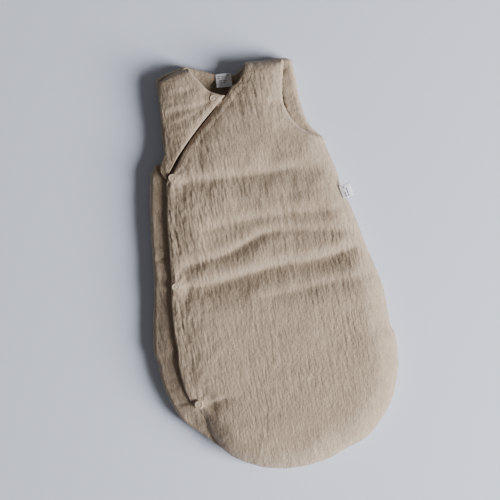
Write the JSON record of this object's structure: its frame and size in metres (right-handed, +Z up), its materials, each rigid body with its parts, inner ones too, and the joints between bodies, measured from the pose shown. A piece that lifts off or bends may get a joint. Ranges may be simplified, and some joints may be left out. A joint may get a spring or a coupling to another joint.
{
  "type": "baby sleeping bag",
  "caption": "Padded sleeveless baby sleeping bag in crinkled cotton gauze, with a wrap front that opens down one side on press studs.",
  "frame": {"origin": "middle of the bag's bounding box in plan, on the surface that it lies on", "axes": "+Z up through the front, away from the back panel; +Y from the foot to the neck; +X to the wearer's left, the side that is sewn shut"},
  "size_m": [0.4101, 0.702, 0.052],
  "materials": {
    "outer_gauze": "crinkled double gauze, matt, sand",
    "edge_gauze": "folded and topstitched gauze hem, matt, sand",
    "lining_cotton": "soft crinkled cotton, matt, sand",
    "wadding": "polyester wadding, white",
    "snap_plastic": "moulded, smooth, cream",
    "label_satin": "woven satin tape, white"
  },
  "bodies": {
    "bag": {"back_shell": "outer_gauze", "side_shell": "outer_gauze", "front_shell": "outer_gauze", "yoke_shell": "outer_gauze", "front_neck_band": "edge_gauze", "yoke_neck_band": "edge_gauze", "opening_end": "edge_gauze", "right_armhole_binding": "edge_gauze", "left_armhole_binding": "edge_gauze", "back_neck_binding": "edge_gauze", "back_lining": "lining_cotton", "front_lining": "lining_cotton", "yoke_lining": "lining_cotton", "back_wadding": "wadding", "side_wadding": "wadding", "shoulder_wadding": "wadding", "front_wadding": "wadding", "yoke_wadding": "wadding", "side_studs": "snap_plastic", "side_stud_backs": "snap_plastic", "neck_stud": "snap_plastic", "neck_stud_back": "snap_plastic"},
    "front_flap": {"front_flap_shell": "outer_gauze", "front_flap_wadding": "wadding", "front_flap_lining": "lining_cotton", "front_flap_band": "edge_gauze", "flap_snap_caps": "snap_plastic", "flap_snap_sockets": "snap_plastic"},
    "bodice": {"bodice_shell": "outer_gauze", "bodice_wadding": "wadding", "bodice_lining": "lining_cotton", "bodice_band": "edge_gauze", "bodice_snap_cap": "snap_plastic", "bodice_snap_socket": "snap_plastic"},
    "neck_label": {"neck_label": "label_satin"},
    "side_tag": {"side_tag": "label_satin"}
  },
  "joints": [
    {"name": "front_flap_fold", "type": "hinge", "parent": "bag", "child": "front_flap", "pos_m": [-0.1387, -0.263, 0.0525], "axis": [0.184, 0.9829, 0], "range_deg": [0, 165]},
    {"name": "bodice_fold", "type": "hinge", "parent": "bag", "child": "bodice", "pos_m": [-0.1377, 0.189, 0.0525], "axis": [-0.4516, -0.8922, 0], "range_deg": [0, 160]},
    {"name": "neck_label_flip", "type": "hinge", "parent": "bag", "child": "neck_label", "pos_m": [-0.00162, 0.32882, 0.0191], "axis": [-0.9848, 0.1736, 0], "range_deg": [0, 150]},
    {"name": "side_tag_flip", "type": "hinge", "parent": "bag", "child": "side_tag", "pos_m": [0.15894, 0.09635, 0.0391], "axis": [0.1736, -0.9848, 0], "range_deg": [0, 90]}
  ]
}
